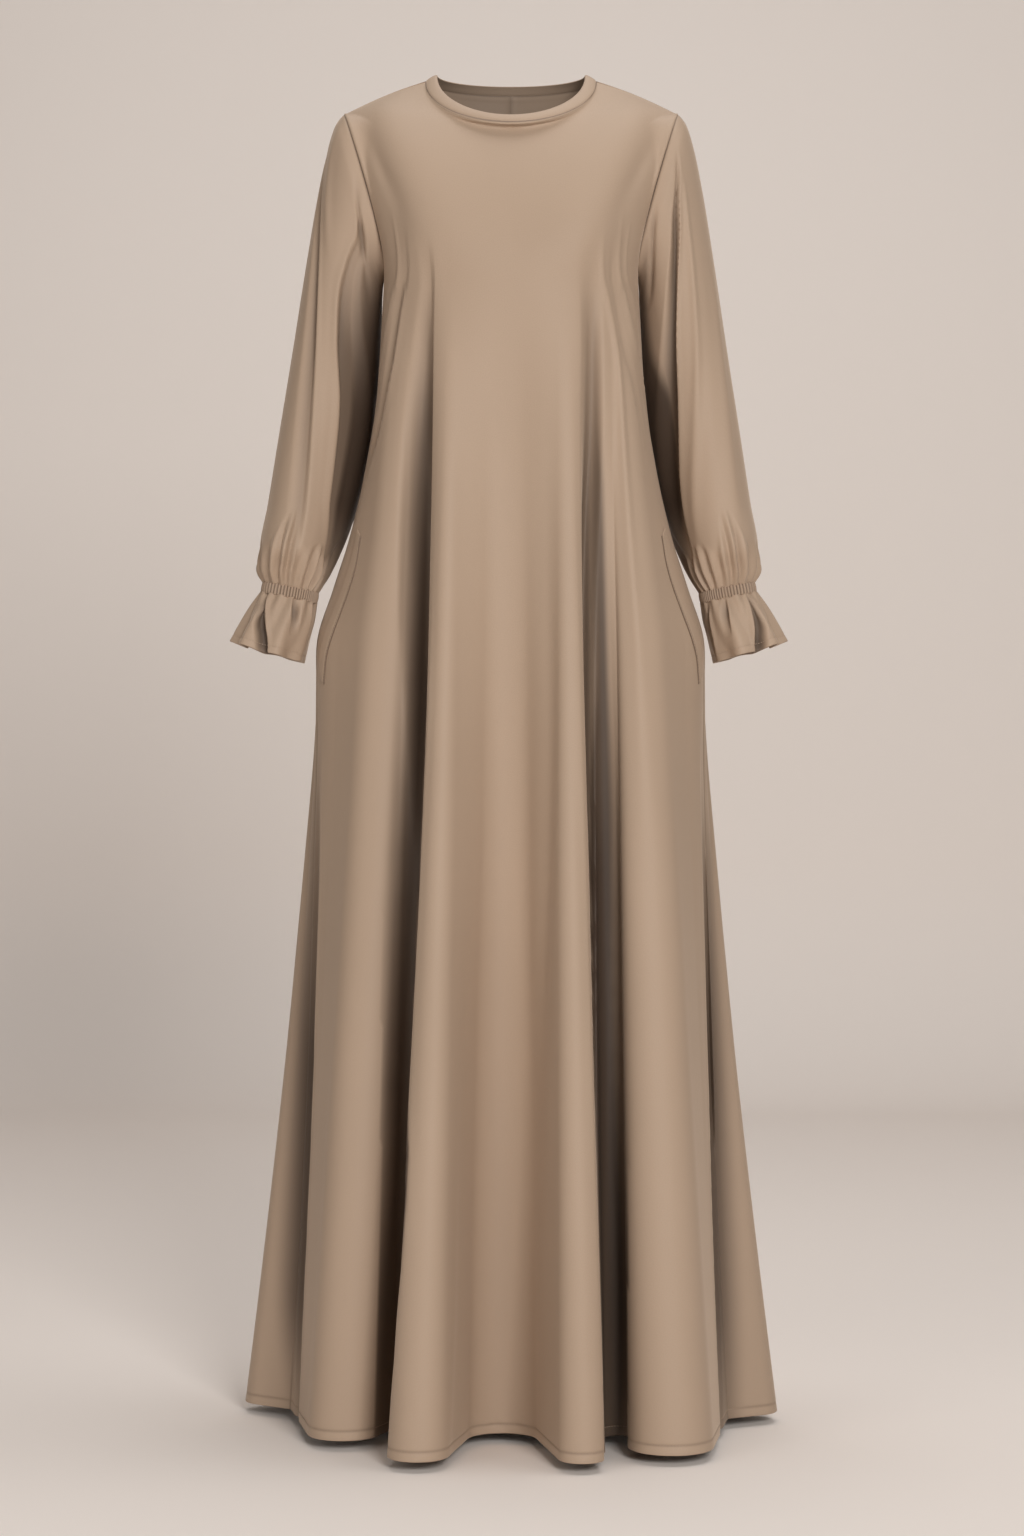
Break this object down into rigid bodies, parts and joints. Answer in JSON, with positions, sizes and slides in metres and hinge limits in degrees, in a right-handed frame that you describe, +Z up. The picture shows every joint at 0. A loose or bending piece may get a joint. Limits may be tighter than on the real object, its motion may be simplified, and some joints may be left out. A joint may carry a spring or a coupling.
{
  "type": "abaya",
  "caption": "Long A-line abaya filled out as if worn, with a bound round neck, gathered sleeves with elastic ruffled cuffs and side-seam pockets.",
  "frame": {"origin": "midway between the two points where the shoulder seams meet the neckline, where the wearer's shoulders hold the garment", "axes": "+Z up, the front faces -Y, +X to the wearer's left"},
  "size_m": [0.6016, 0.5159, 1.4374],
  "materials": {
    "cloth": "soft satin-faced crepe, taupe",
    "elastic_cloth": "shirred over elastic, taupe",
    "inside_cloth": "matt pocket cloth, taupe"
  },
  "bodies": {
    "root": {"front": "cloth", "back_right": "cloth", "back_left": "cloth", "neck_binding": "cloth", "sleeve_right": "cloth", "sleeve_left": "cloth", "cuff_band_right": "elastic_cloth", "cuff_band_left": "elastic_cloth", "cuff_ruffle_right": "cloth", "cuff_ruffle_left": "cloth", "pocket_welt_right": "cloth", "pocket_welt_left": "cloth", "pocket_bag_right": "inside_cloth", "pocket_bag_left": "inside_cloth"}
  },
  "joints": []
}
